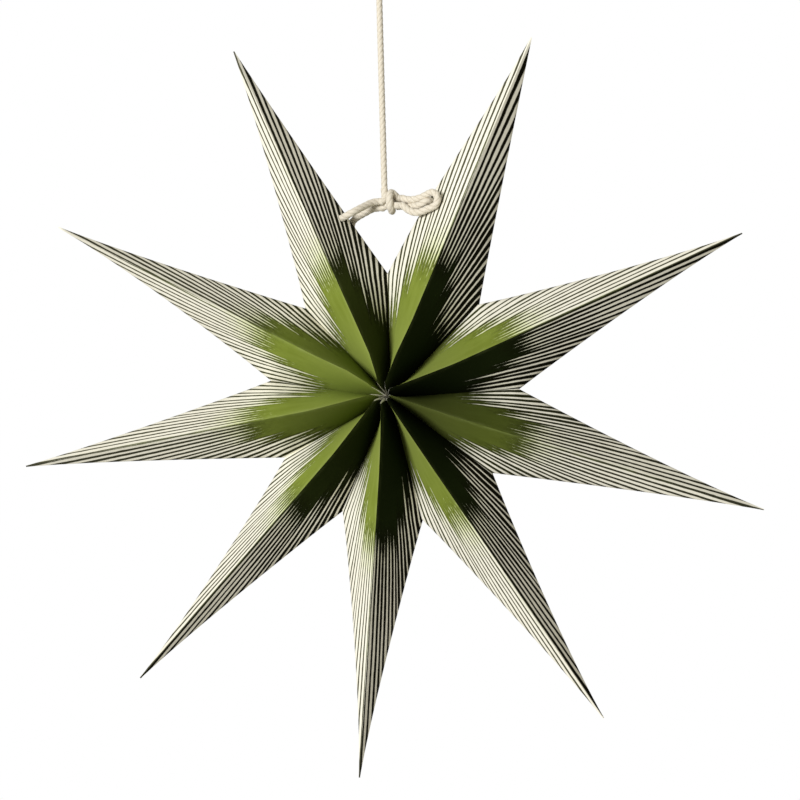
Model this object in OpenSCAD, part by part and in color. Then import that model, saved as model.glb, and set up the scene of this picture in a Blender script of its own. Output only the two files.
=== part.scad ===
// Hanging paper star: nine folded paper rays, opened as a fan and closed by a tied cotton cord

/* [Star] */
// Distance from the star's axis to the tip of a ray
tip_reach = 225; // [160:1:375]
// Distance from the axis to the notch between two rays
notch_reach = 73.5; // [50:0.5:100]
// Height of the ridges above the star's middle plane, at the axis
half_depth = 56; // [35:1:90]
// Distance from the hanging point down to the axis
star_drop = 283; // [240:1:420]
// Distance from the hanging point sideways to the axis
star_aside = 1.1; // [0:0.1:5]

/* [Paper] */
// Thickness of the paper
paper_t = 0.4; // [0.2:0.05:0.8]
// Space between the two layers of a ray at its inner end
layer_gap = 0.5; // [0.3:0.1:1.5]
// How far the ridges stop short of the rest of the inner end
corner_back = 5; // [0:0.5:12]
// Width of a ray at its tip
tip_w = 0.8; // [0.4:0.1:3]

/* [Tie holes] */
// How much wider a punched hole is than the cord
hole_ease = 1.3; // [0.8:0.1:4]
// Distance from the axis to the front hole of the left end ray
left_hole_reach = 109; // [95:1:130]
// Distance from the axis to the front hole of the right end ray
right_hole_reach = 117; // [95:1:130]
// How much nearer to the axis the holes at the back are
back_hole_drop = 8; // [0:0.5:12]

/* [Cord] */
// Diameter of the cotton cord
cord_d = 3.7; // [2:0.1:4]
// Height of the middle of the tie knot above the axis
tie_knot_rise = 117; // [110:1:140]
// Diameter of the tie knot
tie_knot_d = 15; // [13:0.5:20]
// Width of the tie knot between the faces where its strands leave
tie_knot_w = 10.5; // [8:0.5:14]
// Length of the hanging loop above its knot
loop_l = 34; // [30:1:60]
// Diameter of the hanging loop's knot
loop_knot_d = 11; // [10:0.5:16]
// Length of the hanging loop's knot
loop_knot_l = 9; // [7:0.5:14]

/* [Hidden] */
RAYS = ["ray_top_left", "ray_upper_left", "ray_left", "ray_lower_left", "ray_bottom",
        "ray_lower_right", "ray_right", "ray_upper_right", "ray_top_right"];

paper_colour = "#6f7a35";
cord_colour = "#e6dcc6";

// Bearing of each ray, counter-clockwise from the right as seen from the front, from end ray to end ray
ray_bearings = [113, 151.25, 188.75, 226.25, 263.5, 302, 341.75, 383.5, 427.25];
// How hollow a ray's outline is, on its counter-clockwise and its clockwise side: 1 is straight from notch to tip
ray_tapers = [[1.15, 1.05], [1.4, 1.15], [1.15, 1.15], [1.2, 1.3], [1.2, 1.3],
              [1.3, 1.2], [1.2, 1.1], [1.2, 1.2], [1.1, 1]];
// Reach of each notch, from a ray to the next one counter-clockwise, as a share of notch_reach
notch_shares = [1.005, 0.985, 0.98, 0.98, 1, 1.005, 1.025, 1.025, 1];
// How much the cord's pull widens the right end ray beside the tie, and how quickly that fades to the tip
pull_share = 0.75;
pull_power = 2;
last_ray = len(ray_bearings) - 1;
tie_gap = (ray_bearings[0] + 360 - ray_bearings[last_ray]) / 2;

// One quarter of a free ray's section, from the ridge to the middle of the side: a flat facet, then a round side.
// Where the ray is glued, the flat facet runs on to the side
lateral_shares = [0, 0.5, 0.9, 0.97, 1];
height_shares = [1, 0.575, 0.235, 0.15, 0.08];
facet_drop_share = (height_shares[0] - height_shares[2]) / lateral_shares[2];
// Rings of a ray: along its glued side up to the notch, then from the notch towards the tip
glued_shares = [0, 0.13, 0.4, 0.7, 1];
free_shares = [0.12, 0.26, 0.42, 0.6, 0.78, 0.9, 0.96, 0.99];
// The hollow of a ray has two rings less, and ends in a point short of the tip
hollow_end_share = 0.94;
rings_past_hollow = 2;
// How quickly the inner end falls back towards a ridge
corner_power = 3;

// Place of a tie hole across its side, in front and at the back, and the length of the punch for it
front_hole_share = 0.85;
back_hole_share = 0.7;
punch_l = 6;
hole_d = cord_d + hole_ease;

narrowest_gap = min([for (i = [0:last_ray - 1]) (ray_bearings[i + 1] - ray_bearings[i]) / 2]);
inner_reach = (paper_t + layer_gap / 2) / sin(narrowest_gap);

// Order of a ring's points: side of the ray, step of the quarter section, and front or back
quarter_steps = len(lateral_shares) - 1;
section = concat(
    [[1, 0, 1]],
    [for (k = [1:quarter_steps]) [1, k, 1]],
    [for (k = [quarter_steps:-1:1]) [1, k, -1]],
    [[1, 0, -1]],
    [for (k = [1:quarter_steps]) [-1, k, -1]],
    [for (k = [quarter_steps:-1:1]) [-1, k, 1]]);

// Cord: sides of its tube, and the places of the knots
cord_sides = 8;
tie_knot_x = 2;
tie_knot_flat_share = 0.85;
tie_knot_end_share = 0.86;
loop_knot_end_share = 0.84;
belly_share = 0.45;
tie_knot_left = tie_knot_x - tie_knot_w / 2;
tie_knot_right = tie_knot_x + tie_knot_w / 2;
tie_knot_top = tie_knot_rise + tie_knot_flat_share * tie_knot_d / 2;
loop_strand_x = 2.3;
hang_rings = 13;

// Routes of the tied strands: from the knot, into the front hole and out of the back one, to the knot again.
// The ends are measured from the star's axis, and the middle points across and up from the hole that they are at
left_front = [[tie_knot_left, -1.9, 117.2], [-5, -1.9, 117.2], [-8.6, -3.6, 116.5], [-12, -6.6, 113.8],
              [-15.4, -10, 110.9]];
left_in = [[8.2, -12, 1.9], [5.4, -12.4, 1.2], [2.7, -10.9, 0.9], [0, -8, 0], [-2.7, -5.4, -1.2],
           [-4.3, -2.3, -2.6], [-4.9, 1, -4.3]];
left_out = [[-5, 4.4, 2.2], [-3.7, 7.6, 0.6], [-1.9, 10.4, -0.3], [0, 12.4, 0], [2.1, 14.5, 1],
            [3.3, 15.3, 3.4], [3.7, 14, 6.2]];
left_back = [[-20, 11, 107.8], [-17, 7.8, 110], [-13, 4.6, 111.9], [-8.8, 2.7, 113.5], [-5, 1.9, 113.9],
             [tie_knot_left, 1.9, 113.9]];
right_front = [[tie_knot_right, 2, 114.4], [9, 2, 114.4], [12, 0.2, 113.8], [15.4, -3.4, 113.4]];
right_in = [[-8.9, -7.2, -1.6], [-5.8, -10.2, -0.6], [-2.8, -10.4, 0.4], [0, -7.5, 0], [2.5, -4.9, -1],
            [4, -1.9, -2.4], [4.5, 1.3, -4]];
right_out = [[5, 4.6, 2.4], [3.7, 7.6, 0.7], [1.8, 10, -0.3], [0, 11.7, 0], [-2.1, 13.6, 0.9],
             [-4.5, 14.2, 2.8], [-7.6, 12.6, 5.4]];
right_back = [[15.8, 9.6, 115], [12.4, 6.3, 117.1], [9.6, 4.4, 118], [tie_knot_right, 4.4, 118]];
// Route of the cord's tail: a bight on the front of the right end ray, from the knot and back to it
tail_front = [[tie_knot_right, 0.4, 119], [9, 0.4, 119], [12.4, -1.6, 117.9], [16.2, -4.8, 117.4]];
tail_bight = [[-7, -8, 2.9], [-2.6, -11, 4.8], [1, -13.8, 5.5], [3.8, -15.4, 3.9], [4.9, -16, 1],
              [4.1, -15.8, -1.9], [1.6, -15, -4.1], [-1.8, -13.8, -5.5]];
tail_back = [[22.4, -12.2, 109], [18.8, -10.4, 108.8], [15.6, -8.7, 109.6], [13, -6.8, 111.2],
             [11, -4.8, 113.1], [9.2, -3.5, 114.2], [tie_knot_right, -3.5, 114.2]];
// Route of the hanging loop, measured from the hanging point
loop_half = [
    [-loop_strand_x, 0, -loop_l], [-loop_strand_x, 0, -31.5], [-4, 0, -26.5], [-6.2, 0, -20],
    [-8, 0, -13], [-8.5, 0, -6.6], [-7.4, 0, -2.4], [-4.3, 0, 0.7]];
loop_route = concat(
    loop_half,
    [[0, 0, cord_d / 2]],
    [for (k = [len(loop_half) - 1:-1:0]) [-loop_half[k][0], loop_half[k][1], loop_half[k][2]]]);

function mix(a, b, share) = a + (b - a) * share;
function unit(a) = a / norm(a);

// Half the opening between a ray and its neighbour, on its counter-clockwise (1) or clockwise (-1) side
function side_gap(i, side) =
    side > 0
        ? (i < last_ray ? (ray_bearings[i + 1] - ray_bearings[i]) / 2 : tie_gap)
        : (i > 0 ? (ray_bearings[i] - ray_bearings[i - 1]) / 2 : tie_gap);

function ridge_height(u) = half_depth * (1 - u / tip_reach);

// Reach of the notch at one side of a ray, and its place along the ray and across it
function seam_reach(i, side) = notch_reach * notch_shares[side > 0 ? i : (i + last_ray) % len(ray_bearings)];
function notch_u(i, side) = seam_reach(i, side) * cos(side_gap(i, side));
function notch_v(i, side) = seam_reach(i, side) * sin(side_gap(i, side));

// Half the width of a ray past its notch, at a share of the way to the tip
function pull(i, side, share) =
    i == last_ray && side > 0 ? pull_share * share * pow(1 - share, pull_power) : 0;
function free_width(i, side, share) =
    mix(tip_w / 2, notch_v(i, side), pow(1 - share, ray_tapers[i][side > 0 ? 0 : 1]) + pull(i, side, share));
function free_share(i, side, u) = (u - notch_u(i, side)) / (tip_reach - notch_u(i, side));

// Place of a tie hole across and up from the star's axis
function hole_place(i, side, reach, across_share) =
    let (v = side * across_share * free_width(i, side, free_share(i, side, reach)), a = ray_bearings[i])
    [reach * cos(a) - v * sin(a), 0, reach * sin(a) + v * cos(a)];
function front_hole(i, side, reach) = hole_place(i, side, reach, front_hole_share);
function back_hole(i, side, reach) = hole_place(i, side, reach - back_hole_drop, back_hole_share);

// Place of the middle of a ray's side, along the ray and across it; a ring is [is it free, share]
function glued_reach(i, side, share) = mix(inner_reach, seam_reach(i, side), share);
function side_u(i, side, ring) =
    ring[0]
        ? mix(notch_u(i, side), tip_reach, ring[1])
        : glued_reach(i, side, ring[1]) * cos(side_gap(i, side));
function side_v(i, side, ring) =
    ring[0]
        ? free_width(i, side, ring[1])
        : glued_reach(i, side, ring[1]) * sin(side_gap(i, side));
function ridge_u(i, ring) = (side_u(i, 1, ring) + side_u(i, -1, ring)) / 2;

// Size of the hollow's section as a share of the outer section, one paper thickness inside it
function hollow_share(i, ring) =
    let (v = min(side_v(i, 1, ring), side_v(i, -1, ring)), w = ridge_height(ridge_u(i, ring)))
    1 - paper_t * sqrt(1 / (v * v) + 1 / (w * w));

function section_point(i, ring, spot, size_share) =
    let (
        lateral = lateral_shares[spot[1]],
        u = mix(ridge_u(i, ring), side_u(i, spot[0], ring), lateral),
        height = (ring[0] ? height_shares[spot[1]] : 1 - facet_drop_share * lateral) * size_share,
        back = ring == [false, 0] ? corner_back * pow(height, corner_power) : 0)
    [u + back, spot[0] * lateral * size_share * side_v(i, spot[0], ring), spot[2] * height * ridge_height(u)];

outer_rings = concat([for (s = glued_shares) [false, s]], [for (s = free_shares) [true, s]]);
inner_rings = [for (k = [0:len(outer_rings) - rings_past_hollow - 1]) outer_rings[k]];

// Triangles of a skin of rings that closes in a point; the outer skin faces outwards, the hollow's inwards
function skin_faces(first, rings, inwards) =
    let (n = len(section), apex = first + rings * n)
    [for (r = [0:rings - 1], j = [0:n - 1])
        let (
            a = first + r * n + j,
            b = first + r * n + (j + 1) % n,
            closing = r == rings - 1,
            c = closing ? apex : b + n,
            d = closing ? apex : a + n)
        each closing
            ? [inwards ? [a, c, b] : [a, b, c]]
            : inwards ? [[a, c, b], [a, d, c]] : [[a, b, c], [a, c, d]]];

function rim_faces(outer_first, inner_first) =
    let (n = len(section))
    [for (j = [0:n - 1])
        let (k = (j + 1) % n)
        each [[outer_first + j, inner_first + j, inner_first + k],
              [outer_first + j, inner_first + k, outer_first + k]]];

// One folded sheet: a hollow ray along X, its ridges in the XZ plane
module ray_shell(i) {
    outer = [for (ring = outer_rings, spot = section) section_point(i, ring, spot, 1)];
    inner = [for (ring = inner_rings, spot = section)
        section_point(i, ring, spot, hollow_share(i, ring))];
    tip = [tip_reach, 0, 0];
    hollow_tip = [ridge_u(i, [true, hollow_end_share]), 0, 0];
    inner_first = len(outer) + 1;
    polyhedron(
        points = concat(outer, [tip], inner, [hollow_tip]),
        faces = concat(
            skin_faces(0, len(outer_rings), false),
            skin_faces(inner_first, len(inner_rings), true),
            rim_faces(0, inner_first)));
}

// The punch for a hole in the front facet at a side of a ray
module hole_punch(i, side, reach, across_share) {
    half_w = free_width(i, side, free_share(i, side, reach));
    ridge = ridge_height(reach);
    tilt = atan2(facet_drop_share * ridge, half_w);
    translate([reach, side * across_share * half_w, ridge * (1 - facet_drop_share * across_share)])
        rotate([-side * tilt, 0, 0])
            cylinder(d = hole_d, h = punch_l, center = true, $fn = 32);
}

module tie_holes(i, side, reach) {
    hole_punch(i, side, reach, front_hole_share);
    mirror([0, 0, 1]) hole_punch(i, side, reach - back_hole_drop, back_hole_share);
}

// Puts what is drawn round the star's axis in its place below the hanging point
module on_axis() {
    translate([star_aside, 0, -star_drop]) children();
}

module ray(i) {
    color(paper_colour)
        on_axis()
            rotate([90, 0, 0])
                rotate([0, 0, ray_bearings[i]])
                    difference() {
                        ray_shell(i);
                        if (i == 0) tie_holes(i, -1, left_hole_reach);
                        if (i == last_ray) tie_holes(i, 1, right_hole_reach);
                    }
}

// Tangent of a route, and a normal that is carried along it without twisting
function tangent(route, i) =
    let (last = len(route) - 1)
    unit(route[min(i + 1, last)] - route[min(max(i - 1, 0), last - 1)]);
function carried(normal, t) = unit(normal - (normal * t) * t);
function normals(route, start) =
    [for (i = 0, m = carried(start, tangent(route, 0)); i < len(route);
          i = i + 1, m = carried(m, tangent(route, i))) m];

// A plain tube along a route
module cord_tube(route, start) {
    n = cord_sides;
    m = normals(route, start);
    points = [for (i = [0:len(route) - 1], j = [0:n - 1])
        let (t = tangent(route, i), angle = 360 * j / n)
        route[i] + cord_d / 2 * (cos(angle) * m[i] + sin(angle) * cross(t, m[i]))];
    walls = [for (i = [0:len(route) - 2], j = [0:n - 1])
        let (a = i * n + j, b = i * n + (j + 1) % n)
        each [[a, b + n, b], [a, a + n, b + n]]];
    first_end = [for (j = [0:n - 1]) j];
    last_end = [for (j = [n - 1:-1:0]) (len(route) - 1) * n + j];
    polyhedron(points = points, faces = concat(walls, [first_end, last_end]));
}

// Points that are measured from a place
function moved(points, place) = [for (p = points) p + place];

module tied_strand(route) {
    color(cord_colour) on_axis() cord_tube(route, [0, 0, 1]);
}

module tie_loop_left() {
    way_in = moved(left_in, front_hole(0, -1, left_hole_reach));
    way_out = moved(left_out, back_hole(0, -1, left_hole_reach));
    tied_strand(concat(left_front, way_in, way_out, left_back));
}

module tie_loop_right() {
    way_in = moved(right_in, front_hole(last_ray, 1, right_hole_reach));
    way_out = moved(right_out, back_hole(last_ray, 1, right_hole_reach));
    tied_strand(concat(right_front, way_in, way_out, right_back));
}

module tie_tail() {
    tied_strand(concat(tail_front, moved(tail_bight, front_hole(last_ray, 1, right_hole_reach)), tail_back));
}

// A pulled knot as a barrel: its widest diameter, the diameter of its flat ends, and its length
module barrel(widest, end_d, length) {
    belly = belly_share * length / 2;
    rotate_extrude($fn = 48)
        polygon([[0, -length / 2], [end_d / 2, -length / 2], [widest / 2, -belly],
                 [widest / 2, belly], [end_d / 2, length / 2], [0, length / 2]]);
}

// The tie knot is flat on top, where the hanging cord leaves it
module tie_knot() {
    color(cord_colour)
        on_axis()
            translate([tie_knot_x, 0, tie_knot_rise])
                difference() {
                    rotate([0, 90, 0]) barrel(tie_knot_d, tie_knot_end_share * tie_knot_d, tie_knot_w);
                    translate([-tie_knot_w, -tie_knot_d, tie_knot_flat_share * tie_knot_d / 2])
                        cube([2 * tie_knot_w, 2 * tie_knot_d, tie_knot_d]);
                }
}

module hang_cord() {
    low = tie_knot_top - star_drop;
    high = -loop_l - loop_knot_l;
    color(cord_colour)
        cord_tube([for (k = [0:hang_rings - 1]) [0, 0, mix(low, high, k / (hang_rings - 1))]], [1, 0, 0]);
}

module loop_knot() {
    color(cord_colour)
        translate([0, 0, -loop_l - loop_knot_l / 2])
            barrel(loop_knot_d, loop_knot_end_share * loop_knot_d, loop_knot_l);
}

module hang_loop() {
    color(cord_colour) cord_tube(loop_route, [0, 1, 0]);
}

for (i = [0:last_ray])
    ray(i);
tie_loop_left();
tie_loop_right();
tie_tail();
tie_knot();
hang_cord();
loop_knot();
hang_loop();
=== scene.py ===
# %% [markdown]
# # A hanging star of folded paper
# The real star is made of nine hollow rays of stiff paper, printed with dark brush lines and a green centre.
# The rays are glued side to side, opened like a fan, and tied by a cotton cord that also hangs the star up.
# This notebook dresses the plain solids of that star. The solids come in as a fixed frame, in metres, and
# every new piece is built in that same frame, in place of the solid that it stands for.

# %% Load the frame
import math

import bpy
import numpy as np
from mathutils import Matrix, Vector


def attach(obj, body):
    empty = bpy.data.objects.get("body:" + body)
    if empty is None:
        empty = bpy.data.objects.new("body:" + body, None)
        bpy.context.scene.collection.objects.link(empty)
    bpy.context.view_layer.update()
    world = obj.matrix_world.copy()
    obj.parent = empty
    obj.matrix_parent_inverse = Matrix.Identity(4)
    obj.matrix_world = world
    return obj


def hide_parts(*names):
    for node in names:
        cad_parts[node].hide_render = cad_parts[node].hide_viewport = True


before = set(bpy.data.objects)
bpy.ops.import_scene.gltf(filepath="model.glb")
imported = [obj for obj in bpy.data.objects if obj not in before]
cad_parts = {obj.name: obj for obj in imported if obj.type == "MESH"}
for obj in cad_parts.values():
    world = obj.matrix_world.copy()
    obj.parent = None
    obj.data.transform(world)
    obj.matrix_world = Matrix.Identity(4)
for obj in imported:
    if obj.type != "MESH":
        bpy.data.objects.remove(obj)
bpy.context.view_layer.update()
MM = 0.001
print("solids in the frame:", len(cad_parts))

# %% [markdown]
# ## The camera
# The camera stands about 1.2 m away, a little to the right and a little below, and is turned slightly on its
# side. A camera is easiest to place from what it looks at: start at the target, turn there, and step back.
# The lens follows from how much of the star's plane has to fill the frame.

# %% Place the camera
TARGET = Vector((5.85, 0, -284)) * MM
CAMERA_DISTANCE = 1.2
FRAME_WIDTH = 0.4745
CAMERA_YAW = math.radians(5)
CAMERA_PITCH = math.radians(1.5)
CAMERA_ROLL = math.radians(1.57)

bpy.ops.object.select_all(action="DESELECT")
bpy.ops.object.camera_add()
camera = bpy.context.object
camera.name = "front_camera"
camera.data.sensor_width = 36
camera.data.lens = camera.data.sensor_width * CAMERA_DISTANCE / FRAME_WIDTH
camera.matrix_world = (
    Matrix.Translation(TARGET)
    @ Matrix.Rotation(CAMERA_ROLL, 4, "Y")
    @ Matrix.Rotation(CAMERA_YAW, 4, "Z")
    @ Matrix.Rotation(math.radians(90) + CAMERA_PITCH, 4, "X")
    @ Matrix.Translation((0, 0, CAMERA_DISTANCE)))
bpy.context.scene.camera = camera
print("lens in mm:", round(camera.data.lens, 1))

# %% [markdown]
# ## The cotton cord
# The cord is soft cotton, three plies laid together, 3.7 mm thick. A curve with a round bevel would give a
# smooth hose. A rope needs grooves that wind round it, so the section here is three overlapping circles,
# and it turns as it is swept along the route. A route is a list of points, joined by a smooth curve.

# %% A helper for smooth routes
# Steps of the curve between two points, and the distance between the rings of a rope in mm
CURVE_STEPS = 24
ROUTE_STEP = 0.55


def smooth_route(points, closed=False):
    """Joins given points by a Catmull-Rom curve, then spaces the result evenly."""
    p = np.array(points, float)
    if closed:
        padded = np.vstack([p[-1], p, p[:2]])
    else:
        padded = np.vstack([2 * p[0] - p[1], p, 2 * p[-1] - p[-2]])
    fine = []
    for a, b, c, d in zip(padded, padded[1:], padded[2:], padded[3:]):
        for t in np.linspace(0, 1, CURVE_STEPS, endpoint=False):
            fine.append(0.5 * (2 * b + (c - a) * t + (2 * a - 5 * b + 4 * c - d) * t ** 2
                               + (3 * b - a - 3 * c + d) * t ** 3))
    fine.append(padded[-2])
    fine = np.array(fine)
    run = np.concatenate([[0], np.cumsum(np.linalg.norm(np.diff(fine, axis=0), axis=1))])
    stations = np.linspace(0, run[-1], max(4, round(run[-1] / ROUTE_STEP)) + 1)
    return np.column_stack([np.interp(stations, run, fine[:, k]) for k in range(3)])


def route_length(points):
    """Length of a route in mm."""
    return float(np.linalg.norm(np.diff(points, axis=0), axis=1).sum())


print("rings of a rope are apart by mm:", ROUTE_STEP)

# %% The section of the laid rope
CORD_D = 3.7
PLY_COUNT = 3
PLY_RADIUS = 1.5
PLY_OFFSET = CORD_D / 2 - PLY_RADIUS
SIDES = 36


def ply_section():
    """Distance from the cord's middle to its surface, all the way round: three circles that overlap."""
    turn = np.arange(SIDES) * 2 * math.pi / SIDES
    from_crest = (turn + math.pi / PLY_COUNT) % (2 * math.pi / PLY_COUNT) - math.pi / PLY_COUNT
    across = PLY_OFFSET * np.sin(from_crest)
    return turn, PLY_OFFSET * np.cos(from_crest) + np.sqrt(PLY_RADIUS ** 2 - across ** 2)


print("from the cord's middle to a groove in mm:", round(float(ply_section()[1].min()), 2))

# %% Sweep the section along a route
# Length of cord in which the plies go once round
LAY_LENGTH = 11.5
# A direction that no strand starts along, which sets the first ring
ODD_DIRECTION = [0.31, 0.47, 0.83]


def rope_rings(path, closed, start_turn, swell):
    """Rings of the laid section along a path, carried without extra twist and then turned by the lay."""
    ahead = np.roll(path, -1, axis=0) - np.roll(path, 1, axis=0)
    if not closed:
        ahead[0] = path[1] - path[0]
        ahead[-1] = path[-1] - path[-2]
    ahead /= np.linalg.norm(ahead, axis=1)[:, None]
    side = np.cross(ahead[0], ODD_DIRECTION)
    turn, reach = ply_section()
    reach = reach * swell
    run = 0.0
    rings = []
    for k, (point, t) in enumerate(zip(path, ahead)):
        if k:
            run += float(np.linalg.norm(point - path[k - 1]))
        side = side - t * (side @ t)
        side /= np.linalg.norm(side)
        lay = turn + start_turn + 2 * math.pi * run / LAY_LENGTH
        rings.append(point + (reach * np.cos(lay))[:, None] * side
                     + (reach * np.sin(lay))[:, None] * np.cross(t, side))
    return np.array(rings)


print("the plies go once round in mm:", LAY_LENGTH)

# %% The mesh of a rope
# How far an open end bulges, and how much cord goes to one unit of the yarn's UV map, in mm
END_DOME, YARN_UNIT = 0.5, 10


def rope_parts(path, closed=False, start_turn=0.0, swell=1.0):
    """Points, faces and yarn coordinates of one rope; open ends get a low dome."""
    rings = rope_rings(path, closed, start_turn, swell)
    count = len(rings)
    points = rings.reshape(-1, 3)
    faces = []
    coords = []
    for r in range(count if closed else count - 1):
        for j in range(SIDES):
            a, b = r * SIDES + j, r * SIDES + (j + 1) % SIDES
            s = (r + 1) % count * SIDES
            faces.append((a, b, s + (j + 1) % SIDES, s + j))
            low, high = r * ROUTE_STEP, (r + 1) * ROUTE_STEP
            coords += [(j, low), (j + 1, low), (j + 1, high), (j, high)]
    if not closed:
        for ring, beyond, order in ((0, path[0] - path[1], -1), (count - 1, path[-1] - path[-2], 1)):
            middle = len(points)
            points = np.vstack([points, path[ring] + END_DOME * beyond / np.linalg.norm(beyond)])
            for j in range(SIDES):
                pair = (ring * SIDES + j, ring * SIDES + (j + 1) % SIDES)
                faces.append(pair[::order] + (middle,))
                coords += [(j, 0), (j + 1, 0), (j, 1)]
    return points, faces, coords


def rope_object(name, parts):
    """One mesh object from one or more ropes, with the yarn's run and turn kept as a UV map."""
    points, faces, coords = [], [], []
    for p, f, c in parts:
        first = sum(len(q) for q in points)
        points.append(p)
        faces += [tuple(k + first for k in face) for face in f]
        coords += c
    mesh = bpy.data.meshes.new(name)
    mesh.from_pydata((np.vstack(points) * MM).tolist(), [], faces)
    yarn_map = mesh.uv_layers.new(name="yarn")
    yarn_map.uv.foreach_set("vector", (np.array(coords) / [SIDES, YARN_UNIT]).astype(np.float32).ravel())
    mesh.polygons.foreach_set("use_smooth", [True] * len(mesh.polygons))
    mesh.update()
    rope = bpy.data.objects.new(name, mesh)
    bpy.context.collection.objects.link(rope)
    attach(rope, "root")
    return rope


print("sides of a rope:", SIDES)

# %% [markdown]
# ## The hanging strand and its loop
# The strand hangs plumb from the loop to the tie, so its route is a straight line. The loop lies just above
# the picture. Both are ropes, and each says how long it is. The strand is made after its knots.

# %% Hang the star
# How far the star's axis lies beside the hanging point and below it
STAR_ASIDE, STAR_DROP = 1.1, 283
AXIS = np.array([STAR_ASIDE, 0, -STAR_DROP])
KNOT_TOP = 123.375 - STAR_DROP
LOOP_KNOT_LOW, LOOP_KNOT_HIGH = -43, -34
LOOP_STRAND_X = 2.3
STRAND_POINTS = 16
HANG_SWELL = 1.02


def run_on(path, inside):
    """The same path with straight ends that run on into the knots, so that no joint shows."""
    steps = np.arange(ROUTE_STEP, inside, ROUTE_STEP)[:, None]
    first, last = path[0] - path[1], path[-1] - path[-2]
    return np.vstack([path[0] + steps[::-1] * first / np.linalg.norm(first), path,
                      path[-1] + steps * last / np.linalg.norm(last)])


def cord_piece(name, node, path, start_turn, swell, inside=0.0):
    """A cord that stands for the plain solid of the same run."""
    rope = rope_object(name, [rope_parts(run_on(path, inside), start_turn=start_turn, swell=swell)])
    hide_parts(node)
    print(name, "length in mm:", round(route_length(path), 1))
    return rope


strand_route = smooth_route([(0, 0, z) for z in np.linspace(KNOT_TOP, LOOP_KNOT_LOW, STRAND_POINTS)])
loop_half = [(-LOOP_STRAND_X, 0, LOOP_KNOT_HIGH), (-LOOP_STRAND_X, 0, -31.5), (-4, 0, -26.5), (-6.2, 0, -20),
             (-8, 0, -13), (-8.5, 0, -6.6), (-7.4, 0, -2.4), (-4.3, 0, 0.7)]
loop_route = smooth_route(loop_half + [(0, 0, CORD_D / 2)] + [(-x, y, z) for x, y, z in loop_half[::-1]])
hanging_loop = cord_piece("cotton_loop", "hang_loop", loop_route, 0.4, HANG_SWELL)

# %% [markdown]
# ## The tie
# At each side one strand goes from the tie's knot into a punched hole in the front of the end ray, and comes
# back out of a hole in its back. The cord's tail lies in a bight on the front of the right ray. The routes
# are the solids' points, measured from the star's axis and moved by up to 2.3 mm to lie as in the picture.
# Slack cotton swells, so these ropes are fuller than the hanging strand.

# %% Tie the two end rays
left_tie = [(-3.25, -1.9, 117.2), (-5, -1.9, 117.2), (-8.6, -3.6, 116.5), (-12, -6.6, 114.5),
            (-15.4, -10, 112.4), (-18.1, -12, 110.7), (-20.9, -12.4, 109.3), (-23.6, -10.9, 108.2),
            (-26.3, -8, 107.3), (-29, -5.4, 106.1), (-30.6, -2.3, 104.7), (-31.2, 1, 103),
            (-30.1, 4.4, 101.3), (-28.8, 7.6, 99.7), (-27, 10.4, 98.8), (-25.1, 12.4, 99.1),
            (-23.8, 14.8, 99.7), (-23.3, 15.9, 101.9), (-23.1, 15.1, 104.9), (-21.9, 12.3, 107.6),
            (-18.4, 8.6, 109.8), (-13, 4.6, 111.9), (-8.8, 2.7, 113.5), (-5, 1.9, 113.9),
            (-3.25, 1.9, 113.9)]
right_tie = [(7.25, 2, 114.4), (9, 2, 114.4), (12, 0.2, 113.8), (15.4, -3.4, 113.4), (19, -7.2, 113.3),
             (22.1, -10.2, 114.1), (25.1, -10.4, 115.5), (27.9, -7.5, 115.2), (30.4, -4.9, 114.2),
             (31.9, -1.9, 112.8), (32.4, 1.3, 111.2), (31.9, 4.6, 109.3), (30.6, 7.6, 107.6),
             (28.7, 10, 106.6), (26.9, 11.7, 106.9), (24.8, 13.6, 107.8), (22.4, 14.2, 109.7),
             (19.3, 12.6, 112.3), (15.8, 9.6, 115), (12.4, 6.3, 117.1), (9.6, 4.4, 118), (7.25, 4.4, 118)]
tail_run = [(7.25, 0.4, 119), (9, 0.4, 119), (12.4, -1.6, 117.9), (16.2, -4.8, 117.3), (20.9, -8, 117.8),
            (24.9, -11, 119.2), (28.2, -13.6, 120), (30.6, -15.2, 118.4), (31.4, -15.9, 115.8),
            (30.7, -15.8, 113), (28.6, -15, 111.3), (25.6, -13.8, 110.4), (22.2, -12.2, 109.3),
            (18.8, -10.4, 108.8), (15.6, -8.7, 109.6), (13, -6.8, 111.2), (11, -4.8, 113.1),
            (9.2, -3.5, 114.2), (7.25, -3.5, 114.2)]
TIE_SWELL, INTO_KNOT = 1.18, 2.2


def from_axis(points, closed=False):
    """A smooth route through points that are measured from the star's axis."""
    return smooth_route(np.array(points) + AXIS, closed)


def tie_piece(name, node, points, start_turn):
    """One run of the tie, which goes on into its knot at both ends."""
    return cord_piece(name, node, from_axis(points), start_turn, TIE_SWELL, INTO_KNOT)


left_strand = tie_piece("cotton_tie_left", "tie_loop_left", left_tie, 1.1)
right_strand = tie_piece("cotton_tie_right", "tie_loop_right", right_tie, 0.2)
tail_strand = tie_piece("cotton_tie_tail", "tie_tail", tail_run, 0.7)

# %% [markdown]
# ## The knots
# A knot is the same cord, pulled tight. The tie's knot is one round turn over the strands that meet in it,
# so its piece is a closed ring of rope and short runs inside it. The loop's knot is two turns round its
# three strands. Both are built from ropes, because a smooth lump would show no strands.

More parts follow.
